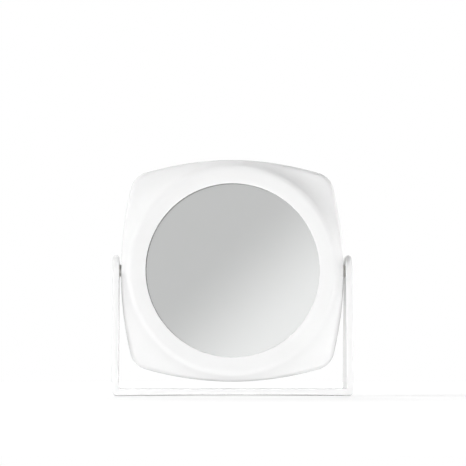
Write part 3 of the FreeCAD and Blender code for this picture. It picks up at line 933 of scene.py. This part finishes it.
def opal_acrylic(name, colour, shadow_colour):
    """Opal acrylic is evenly white, with a faint cloudiness about 40 mm across."""
    finish, tree, place = new_finish(name)
    path = add_node(tree, "ShaderNodeLightPath")
    bounced = add_node(tree, "ShaderNodeMath", {
        0: path.outputs["Is Glossy Ray"], 1: path.outputs["Is Transmission Ray"]}, operation="MAXIMUM")
    seen = add_node(tree, "ShaderNodeMath", {
        0: path.outputs["Is Camera Ray"], 1: bounced.outputs["Value"]}, operation="MAXIMUM")
    cloud = add_node(tree, "ShaderNodeTexNoise", {"Vector": place, "Scale": per_metre(40), "Detail": 2.0})
    white = add_node(tree, "ShaderNodeMix", {
        "Factor": cloud.outputs["Fac"], COLOUR_A: linear(colour), COLOUR_B: linear("#FFFFFF")},
        data_type="RGBA")
    sheet = add_node(tree, "ShaderNodeBsdfDiffuse", {"Color": white.outputs[COLOUR_RESULT]})
    dim_sheet = add_node(tree, "ShaderNodeBsdfDiffuse", {"Color": linear(shadow_colour)})
    outwards = add_node(tree, "ShaderNodeVectorMath", {0: place}, operation="LENGTH")
    own_light = add_node(tree, "ShaderNodeMapRange", {
        "Value": outwards.outputs["Value"], "From Min": glow_from, "From Max": glow_to,
        "To Min": middle_glow, "To Max": edge_glow}, interpolation_type="SMOOTHSTEP")
    glow = add_node(tree, "ShaderNodeEmission", {
        "Color": linear("#FFFFFF"), "Strength": own_light.outputs["Result"]})
    shown = add_node(tree, "ShaderNodeAddShader", {
        0: dim_sheet.outputs["BSDF"], 1: glow.outputs["Emission"]})
    shader = add_node(tree, "ShaderNodeMixShader", {
        0: seen.outputs["Value"], 1: sheet.outputs["BSDF"], 2: shown.outputs["Shader"]})
    add_node(tree, "ShaderNodeOutputMaterial", {"Surface": shader.outputs["Shader"]})
    return finish


opal_table = opal_acrylic("opal_acrylic_table", "#F8F8F8", "#C8C8C8")
print("made", opal_table.name)

# %% Lay the floor
floor_sides = 96
bpy.ops.mesh.primitive_circle_add(vertices=floor_sides, radius=floor_radius, fill_type="NGON")
floor = bpy.context.object
floor.name = "white_floor"
floor.data.materials.append(opal_table)
print("floor reaches", floor_radius, "m")

# %% [markdown]
# ## Soft studio light
#
# In the photograph the light is soft and white. Most of it comes from low in front, and some from high on
# the left, so the upper right of the head is the darkest part of the white. Lamps give most of it, and the
# room adds very little. The surroundings are told apart by what looks at them. The camera sees plain white.
# Diffuse surfaces see a dim room. Reflections see white behind the object, and before it a card graded from
# grey to pale along a slanted line, which the dished glass shows upside down. The card has a thin dark
# border, a ring that the glass just catches along its upper left edge. Only the direction matters for all
# these, so they are drawn with the world's nodes, not built.

# %% A dim room for diffuse surfaces
band_level = 0.05
ceiling_level = 0.03
band_top_from = 0.15
band_top_to = 0.5


def graded(tree, direction, towards, start, end, low, high):
    """A value that runs from low to high as the direction turns towards a given one."""
    along = add_node(tree, "ShaderNodeVectorMath", {0: direction, 1: unit(np.array(towards, float))},
                     operation="DOT_PRODUCT")
    return add_node(tree, "ShaderNodeMapRange", {
        "Value": along.outputs["Value"], "From Min": start, "From Max": end, "To Min": low, "To Max": high},
        interpolation_type="SMOOTHSTEP").outputs["Result"]


world = bpy.data.worlds.new("soft_studio")
bpy.context.scene.world = world
world.use_nodes = True
studio = world.node_tree
studio.nodes.clear()
direction = add_node(studio, "ShaderNodeTexCoord").outputs["Generated"]
band = graded(studio, direction, (0, 0, 1), band_top_from, band_top_to, band_level, ceiling_level)
room = add_node(studio, "ShaderNodeBackground", {"Color": linear("#FFFFFF"), "Strength": band})
print("room light from", ceiling_level, "overhead to", band_level, "at the horizon")

# %% A graded card for reflections
card_dark = 0.644
card_pale = 0.999
card_from = -0.038
card_to = 0.166
card_edge_from = -0.8
card_edge_to = -0.2
border_axis = (0.0296, -0.9985, 0.0453)
border_cosine = 0.9870
border_half_width = 0.0005

card = add_node(studio, "ShaderNodeBackground", {
    "Color": graded(studio, direction, (-1, 0, 1), card_from, card_to, card_dark, card_pale)})
border = add_node(studio, "ShaderNodeBackground", {"Color": linear("#858585")})
off_axis = add_node(studio, "ShaderNodeVectorMath", {0: direction, 1: border_axis}, operation="DOT_PRODUCT")
on_border = add_node(studio, "ShaderNodeMath", {
    0: off_axis.outputs["Value"], 1: border_cosine, 2: border_half_width}, operation="COMPARE")
framed_card = add_node(studio, "ShaderNodeMixShader", {
    0: on_border.outputs["Value"], 1: card.outputs["Background"], 2: border.outputs["Background"]})
white = add_node(studio, "ShaderNodeBackground", {"Color": linear("#FFFFFF")})
behind = graded(studio, direction, (0, 1, 0), card_edge_from, card_edge_to, 0, 1)
reflected = add_node(studio, "ShaderNodeMixShader", {
    0: behind, 1: framed_card.outputs["Shader"], 2: white.outputs["Background"]})
print("card graded from", card_dark, "to", card_pale)

# %% Show each kind of ray its own surroundings
looks = add_node(studio, "ShaderNodeLightPath")
mirrored = add_node(studio, "ShaderNodeMath", {
    0: looks.outputs["Is Glossy Ray"], 1: looks.outputs["Is Transmission Ray"]}, operation="MAXIMUM")
unseen = add_node(studio, "ShaderNodeMixShader", {
    0: mirrored.outputs["Value"], 1: room.outputs["Background"], 2: reflected.outputs["Shader"]})
surroundings = add_node(studio, "ShaderNodeMixShader", {
    0: looks.outputs["Is Camera Ray"], 1: unseen.outputs["Shader"], 2: white.outputs["Background"]})
add_node(studio, "ShaderNodeOutputWorld", {"Surface": surroundings.outputs["Shader"]})
print("nodes in the surroundings:", len(studio.nodes))

# %% [markdown]
# ## Soft boxes and strip lights
#
# Three strip lights stand on the table before the object. One soft box hangs high on the left, one stands
# low on the right, and one behind lights the top of the base. A soft box could be a glowing sheet in the
# scene, but an area lamp gives the same soft shadows with less noise. Places and sizes are in metres.

# %% Hang the lights
box_size = (0.5, 0.4)
strip_size = (0.3, 0.06)


def soft_light(name, place, size, power):
    """A soft light at a place in metres, turned to the head. It lights, but isn't seen itself."""
    lamp = bpy.data.lights.new(name, "AREA")
    lamp.shape = "RECTANGLE"
    lamp.size, lamp.size_y = size
    lamp.energy = power
    holder = bpy.data.objects.new(name, lamp)
    holder.location = place
    head_middle = Vector((0, 0, pivot_height * MM))
    holder.rotation_euler = (head_middle - holder.location).to_track_quat("-Z", "Y").to_euler()
    holder.visible_camera = False
    holder.visible_glossy = False
    bpy.context.scene.collection.objects.link(holder)
    print(name, "gives", power, "W")


soft_light("left_soft_box", (-0.784, 0, 1.029), box_size, 9.0)
soft_light("right_soft_box", (1.1, 0.3, 0.15), box_size, 7.6)
soft_light("rear_soft_box", (0, 0.9, 0.9), box_size, 4.8)
soft_light("front_left_strip", (-0.386, -0.46, 0.04), strip_size, 0.68)
soft_light("front_middle_strip", (0, -0.6, 0.02), strip_size, 1.38)
soft_light("front_right_strip", (0.386, -0.46, 0.04), strip_size, 0.85)

# %% [markdown]
# ## Camera
#
# The picture was taken with a long lens from nearly straight ahead, a little to the left and from just
# above the table: the right leg shows its inner face, and the base shows hardly any top. The lens could be
# tried out by eye, but it also follows from how many pixels one radian spans in a picture 466 pixels wide.
# Places are in metres.

# %% Place the camera
picture_size = 466
pixels_per_radian = 2063.5
camera_place = Vector((-0.048, -1.55, 0.025))
camera_target = Vector((0.0006, 0, 0.1221))

camera = bpy.data.cameras.new("picture_camera")
camera.lens = camera.sensor_width * pixels_per_radian / picture_size
camera_holder = bpy.data.objects.new("picture_camera", camera)
camera_holder.location = camera_place
camera_holder.rotation_euler = (camera_target - camera_place).to_track_quat("-Z", "Y").to_euler()
bpy.context.scene.collection.objects.link(camera_holder)
bpy.context.scene.camera = camera_holder
bpy.context.scene.view_settings.view_transform = "Standard"
print("lens", round(camera.lens, 1), "mm")
